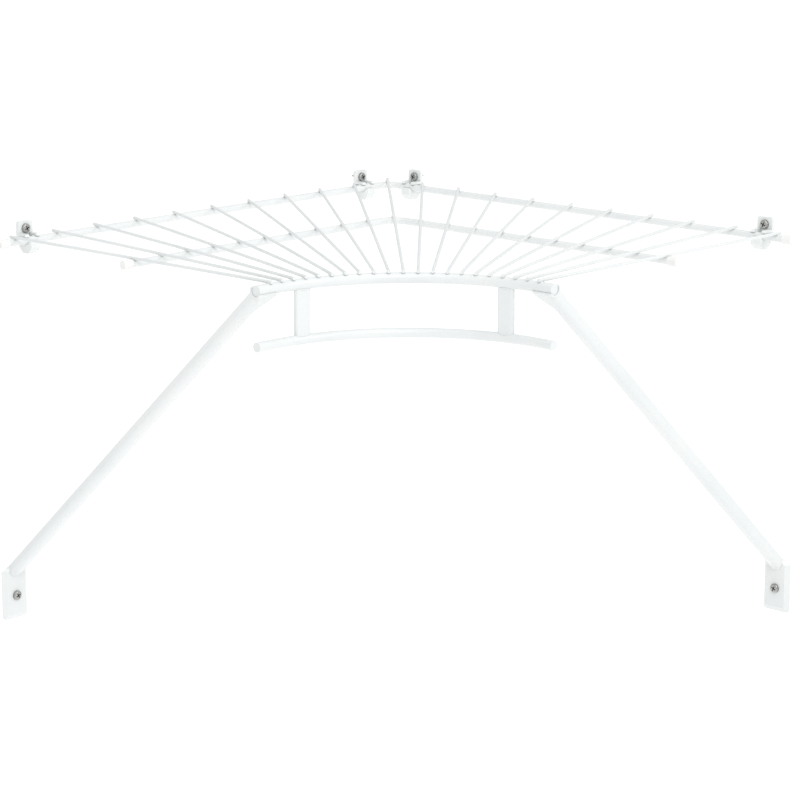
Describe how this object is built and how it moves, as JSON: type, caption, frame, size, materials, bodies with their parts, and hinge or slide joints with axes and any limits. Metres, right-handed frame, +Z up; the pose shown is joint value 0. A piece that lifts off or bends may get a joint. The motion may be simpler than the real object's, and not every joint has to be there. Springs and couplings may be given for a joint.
{
  "type": "corner closet wire shelf",
  "caption": "Corner closet shelf of coated wire with a curved hanging rod, wall clips and two swing-in braces.",
  "frame": {"origin": "where the two wall planes meet, at the height of the deck's top", "axes": "+X right along the shelf's width, +Y into the room corner on the shelf's plane of symmetry, +Z up"},
  "size_m": [0.7018, 0.5676, 0.3551],
  "materials": {
    "white_coat": "white powder coat, semi-gloss",
    "clip_plastic": "moulded, semi-gloss",
    "cap_plastic": "soft moulded, semi-gloss",
    "screw_steel": "zinc plated"
  },
  "bodies": {
    "shelf": {"back_rod": "white_coat", "back_rod_cap_left": "cap_plastic", "back_rod_cap_right": "cap_plastic", "clip_left_inner": "clip_plastic", "clip_left_outer": "clip_plastic", "clip_right_inner": "clip_plastic", "clip_right_outer": "clip_plastic", "clip_screw_left_inner": "screw_steel", "clip_screw_left_outer": "screw_steel", "clip_screw_right_inner": "screw_steel", "clip_screw_right_outer": "screw_steel", "deck_wire_01": "white_coat", "deck_wire_02": "white_coat", "deck_wire_03": "white_coat", "deck_wire_04": "white_coat", "deck_wire_05": "white_coat", "deck_wire_06": "white_coat", "deck_wire_07": "white_coat", "deck_wire_08": "white_coat", "deck_wire_09": "white_coat", "deck_wire_10": "white_coat", "deck_wire_11": "white_coat", "deck_wire_12": "white_coat", "deck_wire_13": "white_coat", "deck_wire_14": "white_coat", "deck_wire_15": "white_coat", "deck_wire_16": "white_coat", "deck_wire_17": "white_coat", "deck_wire_18": "white_coat", "deck_wire_19": "white_coat", "deck_wire_20": "white_coat", "deck_wire_21": "white_coat", "front_top_bar": "white_coat", "hang_rod": "white_coat", "middle_rod": "white_coat", "middle_rod_cap_left": "cap_plastic", "middle_rod_cap_right": "cap_plastic", "post_left": "white_coat", "post_right": "white_coat"},
    "left_brace": {"brace_left": "white_coat", "brace_screw_left": "screw_steel"},
    "right_brace": {"brace_right": "white_coat", "brace_screw_right": "screw_steel"}
  },
  "joints": [
    {"name": "left_brace_swing", "type": "hinge", "parent": "shelf", "child": "left_brace", "pos_m": [-0.11335, -0.56873, -0.0071], "axis": [-0.7071, -0.7071, 0], "range_deg": [0, 32]},
    {"name": "right_brace_swing", "type": "hinge", "parent": "shelf", "child": "right_brace", "pos_m": [0.11335, -0.56873, -0.0071], "axis": [-0.7071, 0.7071, 0], "range_deg": [0, 32]}
  ]
}
